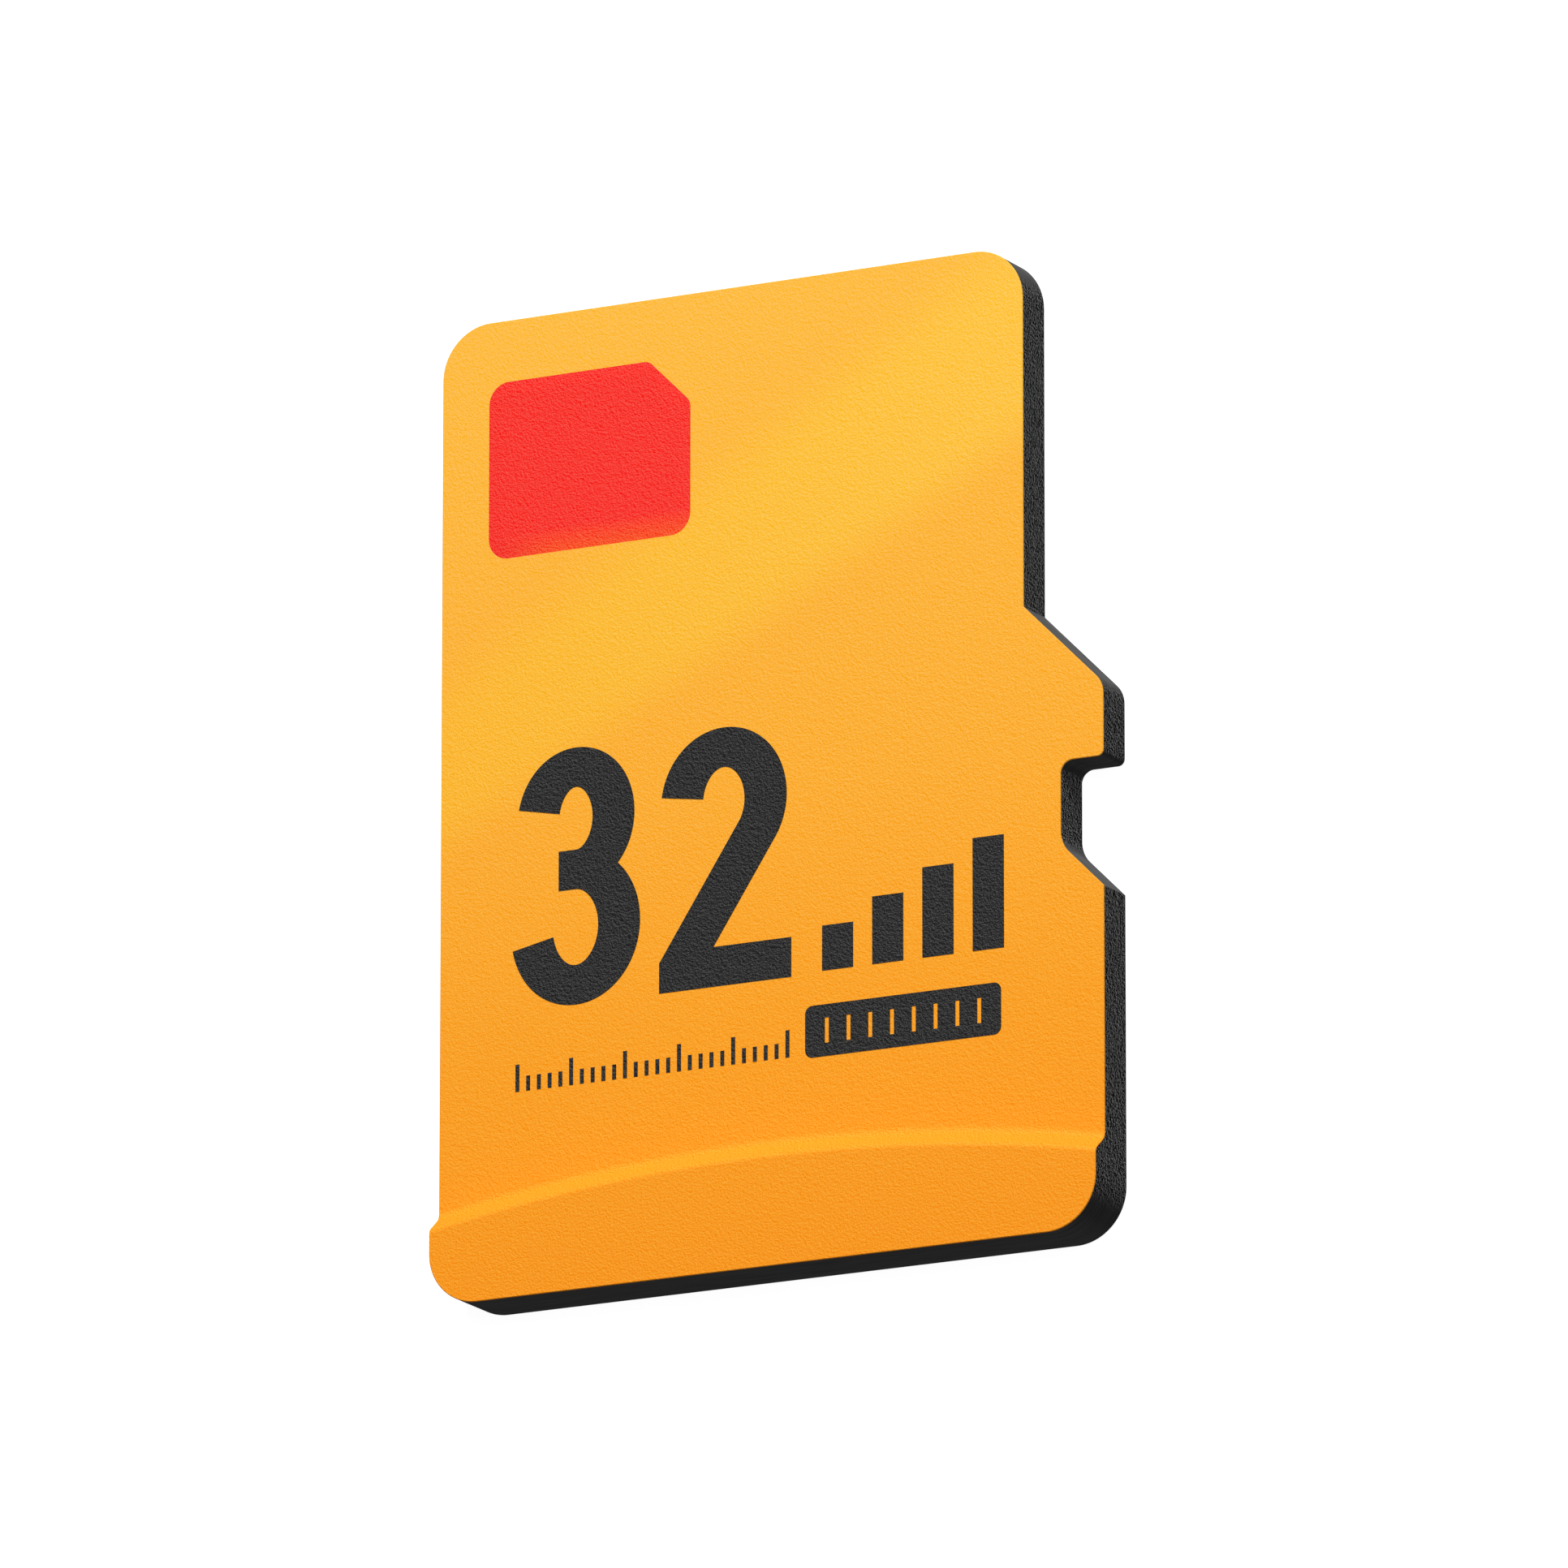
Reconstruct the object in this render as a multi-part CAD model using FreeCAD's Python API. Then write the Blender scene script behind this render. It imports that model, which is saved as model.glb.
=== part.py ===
import FreeCAD, Part
import math
import os
from FreeCAD import Vector

# A microSD memory card in millimetres, lying on its contact side.
# X points to the notched edge, Y to the contact end, Z out of the printed front.
# The origin is the middle of the back face, at the back face.

# Outline of the card
CARD_LENGTH = 15.0
CARD_WIDTH = 11.0
SHOULDER_STEP = 1.3
NOSE_LENGTH = 5.5
TOOTH_LENGTH = 1.1
NOTCH_DEPTH = 0.7
NOTCH_LENGTH = 1.25
SLOPE_ANGLE = 45.0
CORNER_RADIUS = 0.8
SHOULDER_RADIUS = 0.4
TOOTH_RADIUS = 0.1
NOTCH_ROOT_RADIUS = 0.2
NOTCH_SLOPE_RADIUS = 0.45

# Thickness and the raised grip lip
CARD_THICKNESS = 0.7
LIP_HEIGHT = 0.3
LIP_DEPTH = 1.8
LIP_ARC_RADIUS = 30.0
RAMP_ANGLE = 52.0
RAMP_ROOT_RADIUS = 0.18
RAMP_CREST_RADIUS = 0.12

# Layers, from the back face up
MASK_THICKNESS = 0.03
BOARD_THICKNESS = 0.15
COAT_THICKNESS = 0.02
INK_THICKNESS = 0.008

# Contact pads on the back
CONTACT_COUNT = 8
POWER_CONTACTS = (4, 6)
CONTACT_SIDE_MARGIN = 0.6
CONTACT_GAP = 0.3
CONTACT_LENGTH = 2.9
CONTACT_END_MARGIN = 1.1
POWER_LEAD = 0.3
CONTACT_RADIUS = 0.12
CONTACT_THICKNESS = 0.02
WINDOW_CLEARANCE = 0.03

# Red printed field
FIELD_WIDTH = 3.39
FIELD_LENGTH = 2.72
FIELD_SIDE_MARGIN = 0.79
FIELD_END_MARGIN = 0.95
FIELD_RADIUS = 0.33
FIELD_CUT = 0.7
FIELD_CUT_RADIUS = 0.2

# Memory dies, stacked in a step
FLASH_THICKNESS = 0.06
FLASH_SIDE_MARGIN = 0.55
FLASH_END_MARGIN = 0.5
STACK_STEP = 0.4
DIE_FILM_THICKNESS = 0.015
FLASH_PADS = 10
FLASH_PAD_MARGIN = 0.6

# Controller die
CONTROLLER_WIDTH = 3.2
CONTROLLER_LENGTH = 1.9
CONTROLLER_THICKNESS = 0.08
CONTROLLER_SIDE_MARGIN = 1.2
CONTROLLER_PAD_MARGIN = 0.25

# Bond wires and the gold fingers that they end on
PAD_INSET = 0.12
WIRE_SIZE = 0.025
WIRE_LOOP = 0.06
STITCH_LENGTH = 0.1
BOND_SPAN = 0.35
FINGER_LENGTH = 0.25
FINGER_WIDTH = 0.16
FINGER_THICKNESS = 0.015
FINGER_ROW_GAP = 0.2
BACK_MARGIN = 0.6

# Decoupling capacitors
CAPACITOR_COUNT = 3
CAPACITOR_LENGTH = 0.6
CAPACITOR_WIDTH = 0.3
CAPACITOR_HEIGHT = 0.22
CAPACITOR_SPACING = 0.45
TERMINAL_LENGTH = 0.15
PLATING = 0.01

# Copper tracks that join the contacts, the controller and the memory
TRACK_WIDTH = 0.12
TRACK_THICKNESS = 0.015
TRACK_LAP = 0.3
TRACK_LEAD = 0.4
TRACK_FAN_ANGLE = 45.0
VIA_WIDTH = 0.1
VIA_LAND_WIDTH = 0.2
VIA_SIDES = 8

# Edges of the card and the levels of its layers
left = -CARD_WIDTH / 2
right = CARD_WIDTH / 2
back_end = -CARD_LENGTH / 2
contact_end = CARD_LENGTH / 2
nose_right = right - SHOULDER_STEP
board_low = MASK_THICKNESS
board_high = board_low + BOARD_THICKNESS
finger_high = board_high + FINGER_THICKNESS
lip_top = CARD_THICKNESS + LIP_HEIGHT


def rounded_wire(corners, z):
    """Closed wire at height z through (x, y, radius) corners, each rounded by a tangent arc."""
    points = [Vector(x, y, z) for x, y, radius in corners]
    bends = []
    for index, corner in enumerate(points):
        radius = corners[index][2]
        towards_last = (points[index - 1] - corner).normalize()
        towards_next = (points[(index + 1) % len(points)] - corner).normalize()
        half_angle = towards_last.getAngle(towards_next) / 2
        setback = radius / math.tan(half_angle)
        depth = radius / math.sin(half_angle) - radius
        middle = corner + (towards_last + towards_next).normalize() * depth
        bends.append((corner + towards_last * setback, middle, corner + towards_next * setback))
    edges = []
    for index, (start, middle, end) in enumerate(bends):
        if corners[index][2] > 0:
            edges.append(Part.Arc(start, middle, end).toShape())
        edges.append(Part.LineSegment(end, bends[(index + 1) % len(bends)][0]).toShape())
    return Part.Wire(edges)


def rounded_plate(corners, low, high):
    """Flat plate with a rounded outline between two levels."""
    return Part.Face(rounded_wire(corners, low)).extrude(Vector(0, 0, high - low))


def block(x_range, y_range, z_range):
    """Rectangular block between pairs of limits."""
    size = [high - low for low, high in (x_range, y_range, z_range)]
    return Part.makeBox(*size, Vector(x_range[0], y_range[0], z_range[0]))


def card_corners():
    """Corners of the card's outline, clockwise from the contact end, with their radii."""
    slope = math.tan(math.radians(SLOPE_ANGLE))
    shoulder_start = contact_end - NOSE_LENGTH
    shoulder_end = shoulder_start - SHOULDER_STEP / slope
    notch_start = shoulder_end - TOOTH_LENGTH
    notch_turn = notch_start - NOTCH_LENGTH
    notch_end = notch_turn - NOTCH_DEPTH / slope
    notch_floor = right - NOTCH_DEPTH
    return [
        (left, contact_end, CORNER_RADIUS),
        (nose_right, contact_end, CORNER_RADIUS),
        (nose_right, shoulder_start, 0),
        (right, shoulder_end, SHOULDER_RADIUS),
        (right, notch_start, TOOTH_RADIUS),
        (notch_floor, notch_start, NOTCH_ROOT_RADIUS),
        (notch_floor, notch_turn, NOTCH_SLOPE_RADIUS),
        (right, notch_end, 0),
        (right, back_end, CORNER_RADIUS),
        (left, back_end, CORNER_RADIUS),
    ]


def above_front(drop):
    """Everything above the front face and its lip, turned about the lip's arc, lowered by drop."""
    face_level = CARD_THICKNESS - drop
    lip_level = lip_top - drop
    angle = math.radians(RAMP_ANGLE)
    crest_run = RAMP_CREST_RADIUS * math.sin(angle)
    crest_drop = RAMP_CREST_RADIUS * (1 - math.cos(angle))
    root_run = RAMP_ROOT_RADIUS * math.sin(angle)
    root_rise = RAMP_ROOT_RADIUS * (1 - math.cos(angle))
    slope_run = (LIP_HEIGHT - crest_drop - root_rise) / math.tan(angle)
    crest_start = LIP_ARC_RADIUS - (crest_run + slope_run + root_run) / 2
    root_end = crest_start + crest_run + slope_run + root_run
    reach = LIP_ARC_RADIUS + CARD_LENGTH + CARD_WIDTH
    ceiling = lip_top + LIP_HEIGHT

    lip_edge = Vector(crest_start, 0, lip_level)
    crest_middle = Vector(
        crest_start + RAMP_CREST_RADIUS * math.sin(angle / 2),
        0,
        lip_level - RAMP_CREST_RADIUS * (1 - math.cos(angle / 2)),
    )
    slope_top = Vector(crest_start + crest_run, 0, lip_level - crest_drop)
    slope_foot = Vector(root_end - root_run, 0, face_level + root_rise)
    root_middle = Vector(
        root_end - RAMP_ROOT_RADIUS * math.sin(angle / 2),
        0,
        face_level + RAMP_ROOT_RADIUS * (1 - math.cos(angle / 2)),
    )
    face_edge = Vector(root_end, 0, face_level)
    outside = [face_edge, Vector(reach, 0, face_level), Vector(reach, 0, ceiling)]
    outside += [Vector(crest_start, 0, ceiling), lip_edge]
    ramp = [
        Part.Arc(lip_edge, crest_middle, slope_top).toShape(),
        Part.LineSegment(slope_top, slope_foot).toShape(),
        Part.Arc(slope_foot, root_middle, face_edge).toShape(),
    ]
    profile = Part.Face(Part.Wire(ramp + Part.makePolygon(outside).Edges))
    arc_centre = Vector(0, back_end + LIP_DEPTH - LIP_ARC_RADIUS, 0)
    profile.translate(arc_centre)
    return profile.revolve(arc_centre, Vector(0, 0, 1), 360)


def front_layer(drop):
    """The card above its board, up to the front surface lowered by drop."""
    layer = rounded_plate(card_corners(), board_high, lip_top - drop)
    return layer.cut(above_front(drop))


def contact_sides():
    """Left, right, low and high sides of each contact, from the notched edge across."""
    nose_width = nose_right - left
    gaps = (CONTACT_COUNT - 1) * CONTACT_GAP
    width = (nose_width - 2 * CONTACT_SIDE_MARGIN - gaps) / CONTACT_COUNT
    sides = []
    for number in range(1, CONTACT_COUNT + 1):
        pad_right = nose_right - CONTACT_SIDE_MARGIN - (number - 1) * (width + CONTACT_GAP)
        lead = POWER_LEAD if number in POWER_CONTACTS else 0
        pad_high = contact_end - CONTACT_END_MARGIN
        sides.append((pad_right - width, pad_right, pad_high - CONTACT_LENGTH, pad_high + lead))
    return sides


def contact_layer():
    """Gold pads under the board, and the mask film whose windows leave them bare."""
    pads = {}
    mask = rounded_plate(card_corners(), 0, board_low)
    for number, sides in enumerate(contact_sides(), start=1):
        pads[f"contact_{number}"] = pad_plate(sides, 0, board_low - CONTACT_THICKNESS)
        mask = mask.cut(pad_plate(sides, WINDOW_CLEARANCE, 0))
    return pads, mask


def pad_plate(sides, grow, low):
    """Rounded plate from a level up to the board, grown on every side."""
    x_low, x_high, y_low, y_high = sides
    radius = CONTACT_RADIUS + grow
    corners = [
        (x_low - grow, y_high + grow, radius),
        (x_high + grow, y_high + grow, radius),
        (x_high + grow, y_low - grow, radius),
        (x_low - grow, y_low - grow, radius),
    ]
    return rounded_plate(corners, low, board_low)


def red_field():
    """Printed field with one cut corner, on the coat."""
    x_low = left + FIELD_SIDE_MARGIN
    x_high = x_low + FIELD_WIDTH
    y_high = contact_end - FIELD_END_MARGIN
    y_low = y_high - FIELD_LENGTH
    corners = [
        (x_low, y_high, FIELD_RADIUS),
        (x_high - FIELD_CUT, y_high, FIELD_CUT_RADIUS),
        (x_high, y_high - FIELD_CUT, FIELD_CUT_RADIUS),
        (x_high, y_low, FIELD_RADIUS),
        (x_low, y_low, FIELD_RADIUS),
    ]
    return rounded_plate(corners, CARD_THICKNESS, CARD_THICKNESS + INK_THICKNESS)


def die_on_film(x_range, y_range, low, thickness):
    """A die and the attach film under it, and the level of the die's top."""
    film_high = low + DIE_FILM_THICKNESS
    film = block(x_range, y_range, (low, film_high))
    die = block(x_range, y_range, (film_high, film_high + thickness))
    return film, die, film_high + thickness


def spread(low, high, count):
    """Evenly spaced places from low to high."""
    return [low + (high - low) * index / (count - 1) for index in range(count)]


def bond_wire(x, pad, edge, finger_middle):
    """Square wire from a die pad (y, z), flat to the last die edge, then down to its finger."""
    pad_y, pad_z = pad
    outward = math.copysign(1, finger_middle - pad_y)
    half = outward * WIRE_SIZE / 2
    top = pad_z + WIRE_LOOP
    landing = finger_middle - outward * STITCH_LENGTH / 2
    stitch_end = finger_middle + outward * STITCH_LENGTH / 2
    path = [
        (pad_y - half, pad_z),
        (pad_y - half, top),
        (edge, top),
        (landing, finger_high + WIRE_SIZE),
        (stitch_end, finger_high + WIRE_SIZE),
        (stitch_end, finger_high),
        (landing, finger_high),
        (edge, top - WIRE_SIZE),
        (pad_y + half, top - WIRE_SIZE),
        (pad_y + half, pad_z),
    ]
    points = [Vector(x - WIRE_SIZE / 2, y, z) for y, z in path]
    profile = Part.Face(Part.makePolygon(points + points[:1]))
    return profile.extrude(Vector(WIRE_SIZE, 0, 0))


def finger(x, y_low):
    """Gold finger on the board, under the end of one wire."""
    x_range = (x - FINGER_WIDTH / 2, x + FINGER_WIDTH / 2)
    return block(x_range, (y_low, y_low + FINGER_LENGTH), (board_high, finger_high))


def contact_tracks(vias):
    """Tracks let into the underside of the board, fanning out from plated holes to the contacts."""
    pads = [((x_low + x_high) / 2, y_low) for x_low, x_high, y_low, y_high in reversed(contact_sides())]
    widest_shift = max(abs(pad[0] - via[0]) for pad, via in zip(pads, vias))
    return [contact_track(pad, via, widest_shift) for pad, via in zip(pads, vias)]


def contact_track(pad, via, widest_shift):
    """One track: from its filled hole straight, then slanted across, then straight under its contact."""
    pad_x, pad_y = pad
    via_x, via_y = via
    angle = math.radians(TRACK_FAN_ANGLE)
    fan_start = pad_y - TRACK_LEAD - widest_shift / math.tan(angle)
    fan_end = fan_start + abs(pad_x - via_x) / math.tan(angle)
    track_end = pad_y + TRACK_LAP
    half = TRACK_WIDTH / 2
    mitre = math.copysign(half * math.tan(angle / 2), pad_x - via_x)
    outline = [
        (via_x + half, via_y),
        (via_x + half, fan_start - mitre),
        (pad_x + half, fan_end - mitre),
        (pad_x + half, track_end),
        (pad_x - half, track_end),
        (pad_x - half, fan_end + mitre),
        (via_x - half, fan_start + mitre),
        (via_x - half, via_y),
    ]
    strip = board_prism(outline, TRACK_THICKNESS)
    land = board_prism(via_outline(via, VIA_LAND_WIDTH), TRACK_THICKNESS)
    barrel = board_prism(via_outline(via, VIA_WIDTH), BOARD_THICKNESS)
    return strip.fuse([land, barrel]).removeSplitter()


def board_prism(outline, height):
    """Prism over a flat outline on the board's underside."""
    points = [Vector(x, y, board_low) for x, y in outline]
    return Part.Face(Part.makePolygon(points + points[:1])).extrude(Vector(0, 0, height))


def via_outline(centre, width):
    """Regular polygon, measured across its flats."""
    side_angle = 2 * math.pi / VIA_SIDES
    reach = width / 2 / math.cos(side_angle / 2)
    angles = [side_angle * (index + 0.5) for index in range(VIA_SIDES)]
    return [(centre[0] + reach * math.cos(a), centre[1] + reach * math.sin(a)) for a in angles]


def memory_places():
    """Places across the card of the memory's wires and fingers."""
    first = left + FLASH_SIDE_MARGIN + FLASH_PAD_MARGIN
    last = nose_right - FLASH_SIDE_MARGIN - FLASH_PAD_MARGIN
    return spread(first, last, 2 * FLASH_PADS)


def controller_chip():
    """Controller die, wired to the contacts along its back edge and to the memory along its front edge."""
    x_low = left + CONTROLLER_SIDE_MARGIN
    x_high = x_low + CONTROLLER_WIDTH
    back_fingers = back_end + BACK_MARGIN
    y_low = back_fingers + FINGER_LENGTH + BOND_SPAN
    y_high = y_low + CONTROLLER_LENGTH
    front_fingers = y_high + BOND_SPAN
    film, die, top = die_on_film((x_low, x_high), (y_low, y_high), board_high, CONTROLLER_THICKNESS)
    first = x_low + CONTROLLER_PAD_MARGIN
    last = x_high - CONTROLLER_PAD_MARGIN
    contact_places = spread(first, last, CONTACT_COUNT)
    bus_places = [x for x in memory_places() if first <= x <= last]
    fingers = []
    wires = []
    for x in contact_places:
        fingers.append(finger(x, back_fingers))
        wires.append(bond_wire(x, (y_low + PAD_INSET, top), y_low, back_fingers + FINGER_LENGTH / 2))
    for x in bus_places:
        fingers.append(finger(x, front_fingers))
        wires.append(bond_wire(x, (y_high - PAD_INSET, top), y_high, front_fingers + FINGER_LENGTH / 2))
    bus_start = front_fingers + FINGER_LENGTH
    nodes = {
        "controller_film": film,
        "controller_die": die,
        "controller_bond_fingers": Part.makeCompound(fingers),
        "controller_bond_wires": Part.makeCompound(wires),
        "memory_tracks": Part.makeCompound([memory_track(x, bus_start) for x in bus_places]),
    }
    vias = [(x, back_fingers + FINGER_LENGTH / 2) for x in contact_places]
    return nodes, vias, (x_high, (y_low + y_high) / 2), bus_start + FINGER_ROW_GAP


def memory_track(x, y_low):
    """Short track on the board from a controller finger to the memory finger opposite."""
    x_range = (x - TRACK_WIDTH / 2, x + TRACK_WIDTH / 2)
    return block(x_range, (y_low, y_low + FINGER_ROW_GAP), (board_high, board_high + TRACK_THICKNESS))


def flash_stack(row):
    """Two memory dies, the upper one stepped back so that both rows of pads stay open."""
    x_range = (left + FLASH_SIDE_MARGIN, nose_right - FLASH_SIDE_MARGIN)
    y_low = row + FINGER_LENGTH + BOND_SPAN
    y_high = contact_end - FLASH_END_MARGIN - STACK_STEP
    y_upper = y_low + STACK_STEP
    film_low, die_low, top_low = die_on_film(x_range, (y_low, y_high), board_high, FLASH_THICKNESS)
    y_range_upper = (y_upper, y_high + STACK_STEP)
    film_high, die_high, top_high = die_on_film(x_range, y_range_upper, top_low, FLASH_THICKNESS)
    fingers = []
    wires = []
    for index, x in enumerate(memory_places()):
        pad = (y_low + PAD_INSET, top_low) if index % 2 else (y_upper + PAD_INSET, top_high)
        fingers.append(finger(x, row))
        wires.append(bond_wire(x, pad, y_low, row + FINGER_LENGTH / 2))
    return {
        "flash_film_lower": film_low,
        "flash_die_lower": die_low,
        "flash_film_upper": film_high,
        "flash_die_upper": die_high,
        "flash_bond_fingers": Part.makeCompound(fingers),
        "flash_bond_wires": Part.makeCompound(wires),
    }


def capacitors(x_start, y_middle):
    """Row of ceramic capacitors on copper lands, each with a plated cap on both ends."""
    nodes = {}
    caps = []
    lands = []
    land_high = board_high + TRACK_THICKNESS
    y_range = (y_middle - CAPACITOR_WIDTH / 2, y_middle + CAPACITOR_WIDTH / 2)
    z_range = (land_high, land_high + CAPACITOR_HEIGHT)
    for index in range(CAPACITOR_COUNT):
        x_low = x_start + CAPACITOR_SPACING + index * (CAPACITOR_LENGTH + CAPACITOR_SPACING)
        x_high = x_low + CAPACITOR_LENGTH
        inside = [(low + PLATING, high - PLATING) for low, high in ((x_low, x_high), y_range, z_range)]
        ceramic = block(*inside)
        for x_range in ((x_low, x_low + TERMINAL_LENGTH), (x_high - TERMINAL_LENGTH, x_high)):
            caps.append(block(x_range, y_range, z_range).cut(ceramic))
            lands.append(block(x_range, y_range, (board_high, land_high)))
        nodes[f"capacitor_{index + 1}"] = ceramic
    nodes["capacitor_terminals"] = Part.makeCompound(caps)
    nodes["capacitor_lands"] = Part.makeCompound(lands)
    return nodes


# Sealed pieces on the board, and the tracks under it
sealed, vias, controller_side, memory_row = controller_chip()
sealed.update(flash_stack(memory_row))
sealed.update(capacitors(*controller_side))
tracks = contact_tracks(vias)

# Body moulded around them, and the coat that follows its front
body = front_layer(COAT_THICKNESS)
coat = front_layer(0).cut(body)
pads, mask = contact_layer()

nodes = {
    "moulded_body": body.cut(list(sealed.values())),
    "front_coat": coat,
    "red_field": red_field(),
    "substrate_board": rounded_plate(card_corners(), board_low, board_high).cut(tracks),
    "back_solder_mask": mask,
    "contact_tracks": Part.makeCompound(tracks),
}
nodes.update(pads)
nodes.update(sealed)

os.makedirs("parts", exist_ok=True)
for name, shape in nodes.items():
    shape.exportStep(f"parts/{name}.step")
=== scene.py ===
import math

import bmesh
import bpy
from mathutils import Matrix, Vector
from mathutils.geometry import delaunay_2d_cdt


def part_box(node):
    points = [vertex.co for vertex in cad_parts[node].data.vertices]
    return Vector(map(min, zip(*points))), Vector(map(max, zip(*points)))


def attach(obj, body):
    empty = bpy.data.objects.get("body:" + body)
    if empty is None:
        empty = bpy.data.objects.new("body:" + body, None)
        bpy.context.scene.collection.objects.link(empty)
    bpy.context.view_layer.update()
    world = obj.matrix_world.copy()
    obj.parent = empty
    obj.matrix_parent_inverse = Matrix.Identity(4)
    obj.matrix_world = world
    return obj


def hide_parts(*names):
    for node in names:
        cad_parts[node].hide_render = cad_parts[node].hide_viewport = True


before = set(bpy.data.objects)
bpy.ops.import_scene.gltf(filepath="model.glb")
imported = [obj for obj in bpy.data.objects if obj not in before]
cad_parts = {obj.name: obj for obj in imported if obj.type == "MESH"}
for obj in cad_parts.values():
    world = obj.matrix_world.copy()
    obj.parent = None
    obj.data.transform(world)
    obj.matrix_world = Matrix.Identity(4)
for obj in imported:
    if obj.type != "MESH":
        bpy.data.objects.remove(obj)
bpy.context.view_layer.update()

MM = 0.001

# Outline of the card, as in the solids
SHOULDER_STEP = 1.3 * MM
NOSE_LENGTH = 5.5 * MM
TOOTH_LENGTH = 1.1 * MM
NOTCH_DEPTH = 0.7 * MM
NOTCH_LENGTH = 1.25 * MM
CORNER_RADIUS = 0.8 * MM
SHOULDER_RADIUS = 0.4 * MM
TOOTH_RADIUS = 0.1 * MM
NOTCH_ROOT_RADIUS = 0.2 * MM
NOTCH_SLOPE_RADIUS = 0.45 * MM

# Grip lip, as in the solids
LIP_DEPTH = 1.8 * MM
LIP_ARC_RADIUS = 30.0 * MM
RAMP_ANGLE = math.radians(52.0)
RAMP_ROOT_RADIUS = 0.18 * MM
RAMP_CREST_RADIUS = 0.12 * MM

# Contact pads and red field, as in the solids
CONTACT_COUNT = 8
CONTACT_RADIUS = 0.12 * MM
WINDOW_CLEARANCE = 0.03 * MM
FIELD_RADIUS = 0.33 * MM
FIELD_CUT = 0.7 * MM
FIELD_CUT_RADIUS = 0.2 * MM

# Nodes that enclose the sealed ones
SHELL_NODES = ("moulded_body", "substrate_board", "front_coat", "red_field", "back_solder_mask")

# Fineness of the meshes; the last two are in metres
ARC_STEP = math.radians(3.75)
RAMP_ARC_POINTS = 8
RAMP_COLUMNS = 72
SHARP_ANGLE = math.radians(28.0)
WELD_DIGITS = 9
SAME_PLACE = 1e-9
FILL_TOLERANCE = 1e-10

# Kind of filling that keeps only the triangles inside its rings
INSIDE_RINGS = 1

# Soft edges, and the height of the dark ink
COAT_EDGE = 0.01 * MM
MASK_EDGE = 0.012 * MM
PAD_EDGE = 0.004 * MM
FIELD_EDGE = 0.18 * MM
INK_HEIGHT = 0.006 * MM

# Dark print in the row frame: the left, right, low and high of each group
NUMERALS = (-4.30 * MM, 0.37 * MM, -3.12 * MM, 0.79 * MM)
RISING_BARS = (0.88 * MM, 3.87 * MM, -3.09 * MM, -1.39 * MM)
SCALE_ROW = (-4.22 * MM, 0.34 * MM, -4.33 * MM, -3.92 * MM)
STRIP = (0.60 * MM, 3.82 * MM, -4.38 * MM, -3.60 * MM)

# Numerals: sizes of one and of its upright and level strokes
NUMERAL_WIDTH = 2.2 * MM
STEM = 0.7 * MM
BAR = 0.6 * MM

# Numerals: places and reaches as shares of the width or height, and angles in degrees
NUMERAL_MIDDLE = 0.49
THREE_WAIST = 0.525
THREE_UPPER_REACH = 0.445
THREE_LOWER_REACH = 0.49
THREE_BRIDGE = (-0.13, 0.05)
THREE_TIP_ANGLE = 168
TWO_BOWL_LEVEL = 0.715
TWO_BOWL_REACH = 0.475
TWO_BOWL_ANGLES = (172, -38)
TWO_HEEL = 0.13
TWO_HEEL_RISE = 0.45

# Rising bars, scale and strip
RISING_BAR_COUNT = 4
RISING_BAR_SHARE = 0.62
TICK_WIDTH = 0.065 * MM
SCALE_TICKS = 26
SCALE_LONG_EVERY = 5
SCALE_SHORT_SHARE = 0.55
STRIP_RADIUS = 0.12 * MM
STRIP_TICKS = 8
STRIP_TICK_MARGIN = 0.2 * MM

# Pebble grain: its size and depths, and the way that the sides lean that are given painted light
GRAIN_SIZE = 0.02 * MM
GRAIN_SWELL = 2 * GRAIN_SIZE
PRINT_GRAIN_DEPTH = 0.001 * MM
EDGE_GRAIN_DEPTH = 0.03 * MM
MASK_GRAIN_DEPTH = 0.002 * MM
FRONT_LEAN = Vector((0.19, 0.31, 0.0))
EDGE_LEAN = Vector((0.19, 0.31, -0.9))

# Leans at which the grain's painted shade and painted light are full, and where its two tones then lie
COAT_LIMITS = (-0.07, 0.07)
INK_LIMITS = (-0.04, 0.1)
SPARKLE_LIMITS = (0.009, 0.13)
GRAIN_TONES = (0.1, 0.9)

# Turn of a face towards an end at which the grain is gone, and at which it is whole
GRAIN_FADE = (0.55, 0.15)

# Orange coat: tones along the card, partly print and partly painted light that grows towards the contact
# end, factors of painted shade on the grains' sides, and gloss
COAT_PRINT_AND_LIGHT_STOPS = (
    (0.0, (255, 169, 49)),
    (0.25, (255, 176, 58)),
    (0.5, (255, 187, 77)),
    (1.0, (253, 195, 94)),
)
GRAIN_SHADE_FACTORS = ((0.0, (0.95, 0.64, 0.0, 1.0)), (1.0, (1.0, 0.84, 0.08, 1.0)))
WHITE = (1.0, 1.0, 1.0, 1.0)
PRINT_ROUGHNESS = 0.55
COAT_SPECULAR = 0.08
INK_SPECULAR = 0.1

# Painted highlight: a pale band across the coat that stands in for a soft reflection; its tones from left
# to right, and the slopes and soft edges of its two sides
PAINTED_HIGHLIGHT_STOPS = ((0.0, (254, 204, 74)), (1.0, (254, 205, 99)))
BAND_LOW_SLOPE = 0.52
BAND_LOW_EDGE = (1.9 * MM, 3.05 * MM)
BAND_HIGH_SLOPE = 0.6
BAND_HIGH_EDGE = (5.95 * MM, 4.4 * MM)

# Red field: tones of painted shade and painted light on the grain, those of its warm lower edge, and how
# far the warmth reaches
RED_TONES = ((247, 12, 4), (248, 79, 70))
WARM_TONES = ((255, 54, 0), (255, 112, 62))
WARM_REACH = 0.38 * MM
WARM_OVERRUN = 0.02 * MM
WARM_SIDE = 1.2 * MM

# Dark ink: tones of painted shade and painted light on the grain, and roughness
INK_TONES = ((22, 22, 22), (76, 76, 76))
INK_ROUGHNESS = 0.6
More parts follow.
